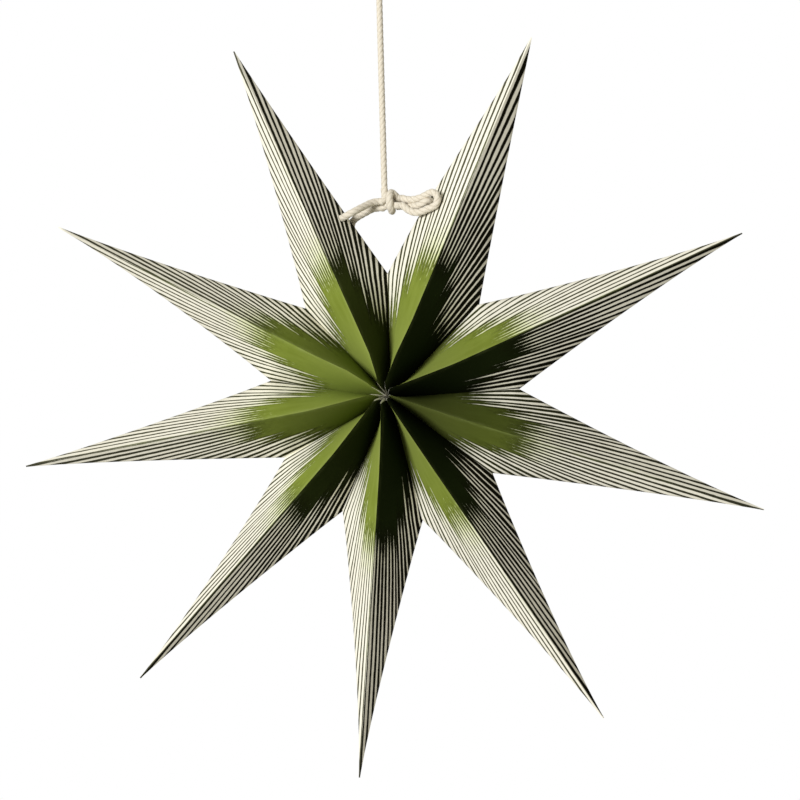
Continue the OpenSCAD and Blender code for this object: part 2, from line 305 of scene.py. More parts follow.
# %% Pull the tie's knot tight
wrap_ring = [(2.9, -2.2, 122.1), (2.4, -4.4, 120.4), (2.2, -5.4, 117.2), (2.5, -4.9, 113.8),
             (2.9, -2.6, 111.9), (3, 0.4, 111.5), (2.9, 3.4, 112.5), (2.7, 5, 115.2), (2.7, 4.9, 118.4),
             (2.9, 2.8, 121.2), (3, 0.4, 122.4)]
knot_runs = [
    [(-1.1, 0, 125), (-1.1, -0.2, 122.8), (-0.8, -1, 120.6), (-0.9, -1.8, 118.6), (-2.2, -2, 117.4),
     (-3.6, -1.9, 117.2)],
    [(3.2, -1.6, 122.3), (4.4, -0.9, 121.6), (5.6, -0.1, 120.3), (6.6, 0.3, 119.3), (8, 0.4, 119)],
    [(-3.6, 1.9, 113.9), (-1.8, 1.2, 114.2), (0.6, -0.4, 114.9), (3, -2, 114.8), (5.4, -3.2, 114.4),
     (7.8, -3.5, 114.2)],
    [(7.8, 2, 114.4), (5.4, 1.8, 114.7), (3, 1.2, 115.4)],
    [(7.8, 4.4, 118), (5.4, 3.9, 117.8), (3, 2.6, 117.4)]]
knot_ropes = [rope_parts(from_axis(wrap_ring, closed=True)[:-1], closed=True, swell=TIE_SWELL)]
knot_ropes += [rope_parts(from_axis(run), start_turn=k, swell=TIE_SWELL) for k, run in enumerate(knot_runs)]
tie_knot = rope_object("cotton_tie_knot", knot_ropes)
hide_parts("tie_knot")
print("ropes in the tie's knot:", len(knot_ropes))

# %% Pull the loop's knot tight
COIL_RADIUS, COIL_INSET = 3.5, 1.9
coil_angles = np.radians(np.arange(-40, 741, 30))
coil_heights = np.linspace(LOOP_KNOT_LOW + COIL_INSET, LOOP_KNOT_HIGH - COIL_INSET, len(coil_angles))
coil = [(COIL_RADIUS * math.cos(a), COIL_RADIUS * math.sin(a), z) for a, z in zip(coil_angles, coil_heights)]
left_core = [(-1.1, 0.3, -43.4), (-1.1, 0.3, -40), (-1.1, 0.3, -37),
             (-2, 0.2, -34.5), (-LOOP_STRAND_X, 0, -32.5)]
right_core = [(-x, -y, z) for x, y, z in left_core]
loop_runs = [coil, left_core, right_core]
loop_ropes = [rope_parts(smooth_route(run), start_turn=k) for k, run in enumerate(loop_runs)]
loop_knot = rope_object("cotton_loop_knot", loop_ropes)
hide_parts("loop_knot")
hanging_strand = cord_piece("cotton_strand", "hang_cord", strand_route, 0.0, HANG_SWELL)
print("ropes in the loop's knot:", len(loop_ropes))

# %% [markdown]
# ## The shape of a ray
# Each ray is one sheet, folded on a ridge in front and on a ridge at the back, with sides that round over.
# From the axis to the notch it is glued to its neighbours; from there it runs out to a sharp tip. The same
# few numbers as in the solids give every point: the ray's bearing, the openings to its neighbours, and how
# hollow its outline is. The section is finer here, with a soft fold at the ridge and a round side. A star
# folded by hand is uneven: here four front ridges lean to one side, the middle of the front lies off the
# axis, and five tips run a little further than the solids do.

# %% Numbers of the star
TIP_REACH, NOTCH_REACH, HALF_DEPTH = 225.0, 73.5, 56.0
PAPER_T, CORNER_BACK, TIP_W = 0.4, 5.0, 0.8
RAY_NAMES = ["top_left", "upper_left", "left", "lower_left", "bottom",
             "lower_right", "right", "upper_right", "top_right"]
RAY_BEARINGS = [113, 151.25, 188.75, 226.25, 263.5, 302, 341.75, 383.5, 427.25]
# How hollow the outline is on the counter-clockwise and the clockwise side of each ray
RAY_TAPERS = [(1.15, 1.05), (1.4, 1.15), (1.15, 1.15), (1.2, 1.3), (1.2, 1.3),
              (1.3, 1.2), (1.2, 1.1), (1.2, 1.2), (1.1, 1)]
# Reach of each notch as a share, from a ray to the next one counter-clockwise
NOTCH_SHARES = [1.005, 0.985, 0.98, 0.98, 1, 1.005, 1.025, 1.025, 1]
PULL_SHARE = 0.75
INNER_REACH = 0.9
openings = [(b - a) / 2 for a, b in zip(RAY_BEARINGS, RAY_BEARINGS[1:])]
tie_opening = (RAY_BEARINGS[0] + 360 - RAY_BEARINGS[-1]) / 2
# Half the opening on the counter-clockwise side and on the clockwise side of each ray
side_openings = [(math.radians(a), math.radians(b))
                 for a, b in zip(openings + [tie_opening], [tie_opening] + openings)]
print("half the opening at the tie in degrees:", tie_opening)


def notch_place(ray, side):
    """Where the notch beside a ray is: along the ray, and across it."""
    reach = NOTCH_REACH * NOTCH_SHARES[ray - side]
    return reach * math.cos(side_openings[ray][side]), reach * math.sin(side_openings[ray][side])


def free_width(ray, side, share):
    """Half the width of a ray past its notch. The cord pulls the right end ray wider beside the tie."""
    width = (1 - share) ** RAY_TAPERS[ray][side]
    if ray == len(RAY_NAMES) - 1 and side == 0:
        width += PULL_SHARE * share * (1 - share) ** 2
    return TIP_W / 2 + (notch_place(ray, side)[1] - TIP_W / 2) * width


# %% One quarter of the section, from the ridge to the middle of the side
# Where the flat facet starts and ends across, how steeply it falls, and how high the glued band is
FACET_START, FACET_END, FACET_FALL, BAND = 0.09, 0.88, 0.85, 0.06
fold_steps = [(0.0, 0.9945), (0.006, 0.991), (0.015, 0.98725), (0.03, 0.9745)]
facet_steps = [(x, 1 - FACET_FALL * x) for x in np.linspace(FACET_START, FACET_END, 12)]
round_steps = []
for t in (0.25, 0.5, 0.75, 1.0):
    bend_x = (1 - t) ** 2 * FACET_END + 2 * t * (1 - t) + t ** 2
    corner_h = 2 * t * (1 - t) * (1 - FACET_FALL)
    bend_h = (1 - t) ** 2 * (1 - FACET_FALL * FACET_END) + corner_h + t ** 2 * BAND
    round_steps.append((bend_x, bend_h))
free_quarter = np.array(fold_steps + facet_steps + round_steps + [(1.0, 0.0)])
# Where a ray is glued, the flat facet runs on into the valley
flat_steps = [(x, 1 - FACET_FALL * x) for x, _ in round_steps]
glued_quarter = np.array(fold_steps + facet_steps + flat_steps + [(1.0, 0.0)])
QUARTER_STEPS = len(free_quarter) - 1
AROUND = 4 * QUARTER_STEPS
print("steps round a ray:", AROUND)

# %% Rows of a ray, from its inner end to its tip
GLUED_ROWS, FREE_ROWS = 22, 60
# Rows lie closer together at the inner end and at the tip
glued_shares = [(k / GLUED_ROWS) ** 1.5 for k in range(GLUED_ROWS)]
free_shares = [1 - (1 - k / FREE_ROWS) ** 1.25 for k in range(FREE_ROWS + 1)]
ALONG = GLUED_ROWS + FREE_ROWS
# Where the inner end stops falling back to the ridges, how quickly it does, and where the free side is round
SETBACK_END, CORNER_POWER, ROUND_FROM = 0.13, 3, 0.12
# How far the front ridge of each ray leans counter-clockwise, as a share of its height
RIDGE_LEANS = [-0.05, -0.055, 0, 0, 0.01, 0, 0, 0, 0.03]
LEAN_FROM = 25.0


def side_place(ray, side, row):
    """Where the middle of a ray's side is on one row: along the ray, and across it."""
    opening = side_openings[ray][side]
    notch, half_width = notch_place(ray, side)
    if row < GLUED_ROWS:
        reach = INNER_REACH + (math.hypot(notch, half_width) - INNER_REACH) * glued_shares[row]
        return reach * math.cos(opening), reach * math.sin(opening)
    share = free_shares[row - GLUED_ROWS]
    return notch + (TIP_REACH - notch) * share, free_width(ray, side, share)


def row_points(ray, row):
    """One row of points in the ray's own axes, once round from the front ridge, counter-clockwise first."""
    places = [side_place(ray, side, row) for side in (0, 1)]
    ridge_u = (places[0][0] + places[1][0]) / 2
    lean = RIDGE_LEANS[ray] * HALF_DEPTH * (1 - ridge_u / TIP_REACH) * min(1.0, ridge_u / LEAN_FROM)
    setback = 0.0
    quarter = glued_quarter
    if row < GLUED_ROWS:
        setback = CORNER_BACK * max(0.0, 1 - glued_shares[row] / SETBACK_END)
    else:
        rounded = min(1.0, free_shares[row - GLUED_ROWS] / ROUND_FROM)
        quarter = glued_quarter + (free_quarter - glued_quarter) * rounded
    points = []
    for column in range(AROUND + 1):
        lap, step = divmod(column, QUARTER_STEPS)
        lap %= 4
        lateral, height = quarter[step if lap in (0, 2) else QUARTER_STEPS - step]
        side = 0 if lap in (0, 1) else 1
        face = 1 if lap in (0, 3) else -1
        u = ridge_u + (places[side][0] - ridge_u) * lateral
        v = (1 - 2 * side) * places[side][1] * lateral + max(face, 0) * lean * (1 - lateral)
        w = face * height * HALF_DEPTH * (1 - u / TIP_REACH)
        points.append((u + setback * height ** CORNER_POWER, v, w))
    return np.array(points)


rows_of = [np.array([row_points(ray, row) for row in range(ALONG + 1)]) for ray in range(len(RAY_NAMES))]
print("points on a ray:", rows_of[0].shape[0] * rows_of[0].shape[1])

# %% Lay the rows in the frame
# How far the middle of the front lies beside the axis, and how far out that is felt
FRONT_DRIFT, DRIFT_REACH = np.array([-1.2, 0, 2.4]), 45.0
# How much further each tip reaches than in the solids; the stretch begins at the middle of the ray
TIP_GROWTHS = [4.4, 2.2, 0, 0, 0, 0, 2.4, 2.4, 4.4]


def ray_to_star(ray):
    """Turns a ray's own axes (along, across, to the front) into the frame."""
    bearing = math.radians(RAY_BEARINGS[ray])
    along = np.array([math.cos(bearing), 0, math.sin(bearing)])
    across = np.array([-math.sin(bearing), 0, math.cos(bearing)])
    return np.array([along, across, [0, -1, 0]])


def from_ridge(ray, row, column):
    """Distance across a ray from its own ridge, the front one or the one at the back."""
    behind = (column > QUARTER_STEPS) & (column < 3 * QUARTER_STEPS)
    ridge_v = rows_of[ray][row, np.where(behind, 2 * QUARTER_STEPS, 0), 1]
    return np.abs(rows_of[ray][row, column, 1] - ridge_v)


def in_frame(ray, points):
    """Points of a ray in the frame, with the drift of the front's middle and the longer tips."""
    growth = TIP_GROWTHS[ray] * np.maximum(2 * points[:, 0] / TIP_REACH - 1, 0) ** 2
    near = np.maximum(points[:, 2], 0) / HALF_DEPTH
    near = near * np.maximum(1 - np.hypot(points[:, 0], points[:, 1]) / DRIFT_REACH, 0)
    grown = points + np.outer(growth, [1, 0, 0])
    return grown @ ray_to_star(ray) + AXIS + near[:, None] * FRONT_DRIFT


print("longest reach of a tip in mm:", TIP_REACH + max(TIP_GROWTHS))

# %% [markdown]
# ## Where the print lies on the sheet
# Every sheet carries the same print: lines that run out from the star's middle like a fan, some close
# together and some far apart. Drawing them on flat coordinates would cut across the folds. So each corner of
# the sheet keeps two numbers in a UV map, its place on the print and its reach along the ray, and four in an
# attribute: a seed for chance, the thickness of the lines, the place across the facet and the distance from
# the ridge. A second attribute holds painted shade, which darkens the green and the lines on the half panels
# that face away from the lamp. The sheets were not cut and folded quite alike,
# so each half panel has its own stretch, slip and bend.

# %% The print, and how it lies on each half panel
# Places of the lines in mm from the ridge, as seen from the front at the reference reach
LINE_PLACES = [-3, -1.4, 0.3, 2, 3.5, 5.1, 6.8, 8.4, 10, 11.2,
               13.1, 15, 16.7, 19.5, 21.4, 24.3, 27.4, 31, 34.5, 38]
# Reach, as a share of the ray, where the gap after each line opens out of the green
GAP_STARTS = [0.36] * 8 + [0.38, 0.3, 0.3, 0.31, 0.21, 0.25, 0.2, 0.2, 0.19, 0.17, 0.16]
LINE_COUNT = len(LINE_PLACES) - 1
REFERENCE_REACH = 0.42
# How much the print is stretched, how far it slipped from the ridge in mm, and how soon its lines bend
# parallel, on the counter-clockwise and the clockwise side of each ray
SHEET_STRETCH = [(1.02, 1.08), (0.94, 0.96), (1.02, 0.94), (1, 0.86), (1.02, 0.9),
                 (1, 0.98), (1.06, 1.04), (1.14, 1.1), (1.28, 1.14)]
SHEET_SLIP = [(0, -0.8), (-0.8, 0.6), (-0.4, 0), (0, -0.2), (1.6, -1.6),
              (-1.2, 1), (-0.8, 0.2), (-0.2, 0), (0.6, -3)]
SHEET_BEND = [(0.8, 0.8), (0.6, 0.6), (0.6, 0.6), (0.45, 1.2), (0.45, 1.2),
              (0.6, 0.6), (0.6, 0.8), (0.45, 0.6), (0.6, 3)]
# How much of the spacing a line fills: less on the half panels that face the lamp and more on those that
# face away, as painted light and shade
LINE_FILLS = [(0.36, 0.48), (0.38, 0.46), (0.46, 0.38), (0.46, 0.36), (0.5, 0.34),
              (0.5, 0.36), (0.48, 0.44), (0.38, 0.52), (0.38, 0.52)]
# Painted shade on each half panel, which darkens its green and its lines: 0 where it faces the lamp, up to 1
# where it faces away
PAINTED_SHADE_LEVELS = [(0, 0.9), (0, 0.35), (0.45, 0), (0.97, 0), (1, 0),
             (1, 0.1), (0.7, 0.55), (0.05, 1), (0, 1)]
HALF_PANELS = 4
# Distance from the ridge, in mm, that the attribute keeps as 1
RIDGE_UNIT = 10


def print_place(aside, reach, stretch, slip, bend):
    """Place on the print of points at a distance from the ridge and a reach along the ray."""
    spread = np.tanh(reach / bend) / math.tanh(REFERENCE_REACH / bend)
    return (aside / spread - slip) / stretch


def print_corners(ray, row, column, lap):
    """The UV pair and the attributes of sheet corners, given their rows, columns and half panels."""
    along, sideways = rows_of[ray][row, column, 0], rows_of[ray][row, column, 1]
    side = np.array([0, 0, 1, 1])[lap]
    aside, reach = sideways * (1 - 2 * side), np.maximum(along, 1) / TIP_REACH
    rules = zip(SHEET_STRETCH[ray], SHEET_SLIP[ray], SHEET_BEND[ray])
    laid = [print_place(aside, reach, *rule) for rule in rules]
    place = np.where(side == 0, laid[0], laid[1])
    step = column - lap * QUARTER_STEPS
    across = free_quarter[np.where(lap % 2 == 0, step, QUARTER_STEPS - step), 0]
    fill = np.array(LINE_FILLS[ray])[side]
    seed = (ray * HALF_PANELS + lap) / (HALF_PANELS * len(RAY_NAMES))
    facets = np.column_stack([seed, fill, across, from_ridge(ray, row, column) / RIDGE_UNIT])
    return np.column_stack([place, reach]), facets, np.array(PAINTED_SHADE_LEVELS[ray])[side]


print("lines on the print:", len(LINE_PLACES))

# %% [markdown]
# ## Folding the sheets
# A sheet starts as a flat grid, as paper does. Its points are laid on the ray's form, its two long edges are
# joined at the front ridge, and its far edge closes in the tip. Solidify then gives it the paper's thickness
# towards the inside, thinner at the ridges and at the tip, where two layers would cross. The inside, the cut
# edges and a narrow strip at the inner end of some rays take the second material, plain paper.

# %% How thick the paper may be
# Reach where no room is left in the tip, how fast the room grows from there, and the least thickness
TIP_ROOM_END, TIP_ROOM_RATE, LEAST_PAPER = 0.97, 9, 0.04
# Thickness that a ridge has room for, as a share of the distance from it
FOLD_ROOM = 0.85


def paper_levels(ray):
    """Share of the paper's thickness at each point: less in the tip and at the ridges."""
    tip_room = (TIP_ROOM_END - rows_of[ray][:, :, 0] / TIP_REACH) * TIP_ROOM_RATE
    row, column = np.indices(rows_of[ray].shape[:2])
    fold_room = FOLD_ROOM * from_ridge(ray, row, column) / PAPER_T
    return np.round(np.clip(np.minimum(tip_room, fold_room), LEAST_PAPER, 1), 2)


print("points with the full paper on a ray:", int((paper_levels(0) == 1).sum()))

# %% Fold nine rays
printed_paper = bpy.data.materials.new("printed paper")
plain_paper = bpy.data.materials.new("plain paper")
# Rows at the inner end of each ray left as bare paper: more on the rays that face the lamp and none on the
# right-hand ones, partly as a painted highlight of their lit cut edges
BARE_ROWS = [1, 2, 2, 2, 2, 1, 0, 0, 0]
# Points nearer than this, in mm, become one
JOIN_REACH = 0.002


def fold_sheet(ray):
    """Lays a flat grid on the form of one ray, with its print, and gives it the paper's thickness."""
    bpy.ops.object.select_all(action="DESELECT")
    bpy.ops.mesh.primitive_grid_add(x_subdivisions=AROUND, y_subdivisions=ALONG, size=2)
    sheet = bpy.context.object
    sheet.name = "paper_ray_" + RAY_NAMES[ray]
    mesh = sheet.data
    mesh.materials.append(printed_paper)
    mesh.materials.append(plain_paper)
    flat = np.empty(len(mesh.vertices) * 3)
    mesh.vertices.foreach_get("co", flat)
    flat = flat.reshape(-1, 3)
    column = np.rint((flat[:, 0] + 1) / 2 * AROUND).astype(int)
    row = np.rint((flat[:, 1] + 1) / 2 * ALONG).astype(int)
    corner = np.empty(len(mesh.loops), int)
    mesh.loops.foreach_get("vertex_index", corner)
    face_column = column[corner].reshape(-1, 4).min(axis=1)
    face_row = row[corner].reshape(-1, 4).min(axis=1)
    mesh.polygons.foreach_set("material_index", (face_row < BARE_ROWS[ray]).astype(np.int32))
    lap = np.repeat(face_column // QUARTER_STEPS, 4)
    pairs, facets, shade_levels = print_corners(ray, row[corner], column[corner], lap)
    mesh.uv_layers[0].name = "print"
    mesh.uv_layers["print"].uv.foreach_set("vector", pairs.astype(np.float32).ravel())
    facet = mesh.color_attributes.new("facet", "FLOAT_COLOR", "CORNER")
    facet.data.foreach_set("color", facets.astype(np.float32).ravel())
    # Painted shade of each corner, kept as an attribute
    painted_shade = mesh.attributes.new("painted_shade", "FLOAT", "CORNER")
    painted_shade.data.foreach_set("value", shade_levels.astype(np.float32))
    placed = in_frame(ray, rows_of[ray][row, column])
    mesh.vertices.foreach_set("co", (placed * MM).astype(np.float32).ravel())
    layers = sheet.vertex_groups.new(name="layers")
    levels = paper_levels(ray)[row, column]
    for level in np.unique(levels):
        layers.add(np.flatnonzero(levels == level).tolist(), float(level), "REPLACE")
    bpy.ops.object.mode_set(mode="EDIT")
    bpy.ops.mesh.select_all(action="SELECT")
    bpy.ops.mesh.remove_doubles(threshold=JOIN_REACH * MM)
    bpy.ops.mesh.normals_make_consistent(inside=False)
    bpy.ops.object.mode_set(mode="OBJECT")
    paper = sheet.modifiers.new("paper thickness", "SOLIDIFY")
    paper.thickness = PAPER_T * MM
    paper.offset = -1
    paper.vertex_group = layers.name
    paper.material_offset = 1
    paper.material_offset_rim = 1
    bpy.ops.object.modifier_apply(modifier=paper.name)
    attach(sheet, "root")
    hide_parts("ray_" + RAY_NAMES[ray])
    return sheet


rays = [fold_sheet(ray) for ray in range(len(RAY_NAMES))]
print("faces on a ray:", len(rays[0].data.polygons))

# %% [markdown]
# ## Punching the tie holes
# The two end rays have a hole in front and one at the back for the cord. A hole punch is a cylinder, and a
# Boolean modifier cuts with it. The punch stands square on the facet, as in the solids.

# %% Punch the end rays
HOLE_D, PUNCH_L, PUNCH_SIDES = 5.0, 6.0, 32
LEFT_HOLE_REACH, RIGHT_HOLE_REACH = 109, 117
# For the front and the back: which face, where across its facet, and how much nearer to the axis
HOLE_PLACES = [(1, 0.85, 0), (-1, 0.7, 8)]


def punch_holes(ray, side, front_reach):
    """Punches the front hole and the back hole of one end ray."""
    notch = notch_place(ray, side)[0]
    across = 1 - 2 * side
    for face, across_share, drop in HOLE_PLACES:
        reach = front_reach - drop
        half_width = free_width(ray, side, (reach - notch) / (TIP_REACH - notch))
        ridge = HALF_DEPTH * (1 - reach / TIP_REACH)
        height = face * ridge * (1 - FACET_FALL * across_share)
        place = np.array([reach, across * across_share * half_width, height])
        outward = np.array([0, across * FACET_FALL * ridge, face * half_width])
        middle = (place @ ray_to_star(ray) + AXIS) * MM
        turn = Vector(outward @ ray_to_star(ray)).to_track_quat("Z", "Y").to_euler()
        bpy.ops.object.select_all(action="DESELECT")
        bpy.ops.mesh.primitive_cylinder_add(vertices=PUNCH_SIDES, radius=HOLE_D / 2 * MM, depth=PUNCH_L * MM,
                                            location=middle, rotation=turn)
        punch = bpy.context.object
        cut = rays[ray].modifiers.new("tie hole", "BOOLEAN")
        cut.operation = "DIFFERENCE"
        cut.object = punch
        bpy.context.view_layer.objects.active = rays[ray]
        bpy.ops.object.modifier_apply(modifier=cut.name)
        bpy.data.objects.remove(punch, do_unlink=True)
    print("holes in", rays[ray].name, "faces now", len(rays[ray].data.polygons))


punch_holes(0, 1, LEFT_HOLE_REACH)
punch_holes(len(rays) - 1, 0, RIGHT_HOLE_REACH)

# %% Shade the folds smooth and the cut edges sharp
SHARP_ANGLE = math.radians(45)
for sheet in rays:
    bpy.ops.object.select_all(action="DESELECT")
    sheet.select_set(True)
    bpy.context.view_layer.objects.active = sheet
    bpy.ops.object.shade_smooth_by_angle(angle=SHARP_ANGLE)
print("rays shaded:", len(rays))

# %% [markdown]
# ## Small tools for materials
# A material is a graph of nodes. These helpers add nodes to one graph and hand back an output, so that a
# recipe below reads like a formula. Colours are written as they look on a screen, then turned into light.

# %% Node helpers
def screen_colour(red, green, blue):
    """A colour given in screen values from 0 to 255, as linear light."""
    linear = [((c / 255 + 0.055) / 1.055) ** 2.4 if c > 10 else c / 255 / 12.92 for c in (red, green, blue)]
    return (*linear, 1.0)


class Recipe:
    """Adds nodes to one tree. A step of a formula hands back the output of its node."""

    def __init__(self, tree):
        self.tree = tree

    def node(self, kind):
        return self.tree.nodes.new(kind)

    def feed(self, socket, value):
        """Gives a socket a link or a plain value."""
        if isinstance(value, bpy.types.NodeSocket):
            self.tree.links.new(value, socket)
        else:
            socket.default_value = value

    def fill(self, node, values):
        """Feeds the inputs of a node by their names."""
        for name, value in values.items():
            self.feed(node.inputs[name], value)

    def step(self, node, *values):
        """Feeds the inputs of a node in their order, and hands back its first output."""
        for socket, value in zip(node.inputs, values):
            self.feed(socket, value)
        return node.outputs[0]

    def maths(self, operation, *values, clamp=False):
        node = self.node("ShaderNodeMath")
        node.operation = operation
        node.use_clamp = clamp
        return self.step(node, *values)

    def total(self, first, *others):
        """All the values added up."""
        for other in others:
            first = self.maths("ADD", first, other)
        return first

    def product(self, first, *others):
        """All the values multiplied."""
        for other in others:
            first = self.maths("MULTIPLY", first, other)
        return first

    def ramp(self, value, low, high, from_low=0.0, to_high=1.0):
        """A smooth step from one value at low to another at high."""
        node = self.node("ShaderNodeMapRange")
        node.interpolation_type = "SMOOTHSTEP"
        return self.step(node, value, low, high, from_low, to_high)

    def blend(self, factor, first, second, mode="MIX"):
        """A mix of two colours: the first at 0, the second at 1."""
        node = self.node("ShaderNodeMix")
        node.data_type = "RGBA"
        node.blend_type = mode
        given = {"Factor_Float": factor, "A_Color": first, "B_Color": second}
        for socket in node.inputs:
            if socket.identifier in given:
                self.feed(socket, given[socket.identifier])
        return next(socket for socket in node.outputs if socket.identifier == "Result_Color")

    def vector(self, x, y, z=0.0):
        return self.step(self.node("ShaderNodeCombineXYZ"), x, y, z)

    def uv_pair(self, name):
        """The two numbers that a UV map keeps."""
        source = self.node("ShaderNodeUVMap")
        source.uv_map = name
        split = self.node("ShaderNodeSeparateXYZ")
        self.step(split, source.outputs[0])
        return split.outputs[0], split.outputs[1]

    def noise(self, place, scale, detail=2.0, roughness=0.5):
        """Smooth noise round one half."""
        node = self.node("ShaderNodeTexNoise")
        self.fill(node, {"Vector": place, "Scale": scale, "Detail": detail, "Roughness": roughness})
        return node.outputs["Fac"]

    def chance(self, place):
        """A random value from 0 to 1, the same wherever the place is the same."""
        node = self.node("ShaderNodeTexWhiteNoise")
        node.noise_dimensions = "3D"
        self.feed(node.inputs["Vector"], place)
        return node.outputs["Value"]

    def curve(self, value, points):
        """A curve with straight pieces through given points, all between 0 and 1."""
        node = self.node("ShaderNodeFloatCurve")
        line = node.mapping.curves[0]
        line.points[0].location = points[0]
        line.points[1].location = points[-1]
        for x, y in points[1:-1]:
            line.points.new(x, y)
        for point in line.points:
            point.handle_type = "VECTOR"
        node.mapping.update()
        self.fill(node, {"Value": value})
        return node.outputs[0]

    def bump(self, shader, height, strength, depth):
        """Roughens a shader's surface by a height, with a depth in mm."""
        node = self.node("ShaderNodeBump")
        self.fill(node, {"Strength": strength, "Distance": depth * MM, "Height": height})
        self.fill(shader, {"Normal": node.outputs["Normal"]})


def open_material(material):
    """The recipe of a material, and its shader."""
    material.use_nodes = True
    return Recipe(material.node_tree), material.node_tree.nodes["Principled BSDF"]


print("middle grey as linear light:", round(screen_colour(128, 128, 128)[0], 3))

# %% [markdown]
# ## Paper fibre
# Handmade cotton paper is matt, with a faint cloudy tone and a fine tooth that light catches from the side.
# Both the printed face and the plain inside have it, so it is a node group: one place to tune, two uses.

# %% A node group for paper fibre
# Scales of the fine tooth, of the coarse tooth and of the cloudy tone, per metre
FINE_TOOTH, COARSE_TOOTH, CLOUDS = 900, 160, 28
COARSE_SHARE = 1.5
TOOTH_DEPTH, TOOTH_STRENGTH = 0.12, 0.35
fibre_group = bpy.data.node_groups.new("paper fibre", "ShaderNodeTree")
fibre_group.interface.new_socket("Place", in_out="INPUT", socket_type="NodeSocketVector")
fibre_group.interface.new_socket("Tooth", in_out="OUTPUT", socket_type="NodeSocketFloat")
fibre_group.interface.new_socket("Cloud", in_out="OUTPUT", socket_type="NodeSocketFloat")
fibre_in = fibre_group.nodes.new("NodeGroupInput").outputs["Place"]
fibre_out = fibre_group.nodes.new("NodeGroupOutput")
fibre = Recipe(fibre_group)
coarse_tooth = fibre.product(fibre.noise(fibre_in, COARSE_TOOTH), COARSE_SHARE)
tooth = fibre.total(fibre.noise(fibre_in, FINE_TOOTH, 3.0, 0.6), coarse_tooth)
fibre.fill(fibre_out, {"Tooth": tooth, "Cloud": fibre.noise(fibre_in, CLOUDS, 3.0, 0.6)})
print("sockets in the fibre group:", len(fibre_group.interface.items_tree))


def add_fibre(recipe, shader):
    """Places the fibre group in a material, links its tooth as a bump, and returns its cloud."""
    group = recipe.node("ShaderNodeGroup")
    group.node_tree = fibre_group
    recipe.fill(group, {"Place": recipe.node("ShaderNodeTexCoord").outputs["Object"]})
    recipe.bump(shader, group.outputs["Tooth"], TOOTH_STRENGTH, TOOTH_DEPTH)
    return group.outputs["Cloud"]


# %% [markdown]
# ## The printed face
# The print shows dark lines on cream paper, as if drawn with a dry brush. Round the star's middle a green
# wash covers everything; it reaches furthest along the ridges and breaks up into streaks where the brush ran
# dry. A drawing would fix every line by hand. Here a curve turns the place on the print into a line number:
# the distance to the nearest whole number tells line from gap, and chance by that number makes each line a
# little different.

# %% Colours of the print, and of the painted light and shade on it
CREAM = screen_colour(243, 240, 226)
LEAF_GREEN = screen_colour(130, 144, 62)
BRUSHED_GREEN = screen_colour(118, 132, 50)
# Painted light: a lighter green for the middle of the star, where the rays shade each other
PAINTED_LIGHT_GREEN = screen_colour(144, 158, 74)
PALE_GREEN = screen_colour(205, 217, 140)
FOLD_GREEN = screen_colour(160, 172, 110)
DARK_OLIVE = screen_colour(58, 62, 26)
CHARCOAL = screen_colour(76, 76, 58)
# Green and ink under full painted shade
PAINTED_SHADE_GREEN = screen_colour(24, 32, 10)
PAINTED_SHADE_INK = screen_colour(16, 15, 5)
CLOUD_TONE = screen_colour(215, 208, 190)
print("cream as linear light:", [round(c, 2) for c in CREAM[:3]])

# %% From the place on the print to a line number
# Spreads the seeds of the half panels apart
SEED_SPREAD = 97.0
PRINT_LOW, PRINT_WIDE = LINE_PLACES[0], LINE_PLACES[-1] - LINE_PLACES[0]

ink, ink_shader = open_material(printed_paper)
place_at, reach_at = ink.uv_pair("print")
facet_node = ink.node("ShaderNodeAttribute")
facet_node.attribute_name = "facet"
split_facet = ink.node("ShaderNodeSeparateColor")
ink.step(split_facet, facet_node.outputs["Color"])
seed_at, fill_at, across_at = split_facet.outputs[0], split_facet.outputs[1], split_facet.outputs[2]
ridge_at = facet_node.outputs["Alpha"]
# Painted shade, which darkens the green and the lines
shade_node = ink.node("ShaderNodeAttribute")
shade_node.attribute_name = "painted_shade"
shade_at = shade_node.outputs["Fac"]
seed_far = ink.product(seed_at, SEED_SPREAD)
place_share = ink.maths("DIVIDE", ink.maths("SUBTRACT", place_at, PRINT_LOW), PRINT_WIDE)
line_points = [((p - PRINT_LOW) / PRINT_WIDE, k / LINE_COUNT) for k, p in enumerate(LINE_PLACES)]
line_at = ink.product(ink.curve(place_share, line_points), float(LINE_COUNT))


def streaks(across, along, detail=2.0):
    """Noise that is drawn out along the lines: how fine it is across them and along the reach."""
    place = ink.vector(ink.product(line_at, across), ink.product(reach_at, along), seed_far)
    return ink.maths("SUBTRACT", ink.noise(place, 1.0, detail), 0.5)


print("nodes up to the line number:", len(ink.tree.nodes))

# %% Lines and gaps
# How far a line wavers, and how its half width changes by chance and along its run
LINE_WAVER, LINE_CHANCE, LINE_ROUGH = 0.25, 0.2, 0.12
# The stretch of the reach where a line fills out, and by how much: at the tip, and, as painted shade, on the
# half panels that face away from the lamp
TIP_STRETCH, TIP_INK = (0.84, 1.0), 0.08
SHADE_STRETCH, SHADE_THICKENING = (0.68, 0.45), 0.09
drift = ink.product(streaks(0.6, 8.0), LINE_WAVER)
drawn_line = ink.total(line_at, drift)
line_number = ink.maths("ROUND", drawn_line)
from_line = ink.maths("ABSOLUTE", ink.maths("SUBTRACT", drawn_line, line_number))
line_luck = ink.chance(ink.vector(line_number, seed_far))
line_share = ink.maths("MULTIPLY_ADD", line_luck, LINE_CHANCE, (1 - LINE_CHANCE) / 2)
rough_edge = ink.product(streaks(1.5, 60.0), LINE_ROUGH)
tip_ink = ink.ramp(reach_at, *TIP_STRETCH, 0.0, TIP_INK)
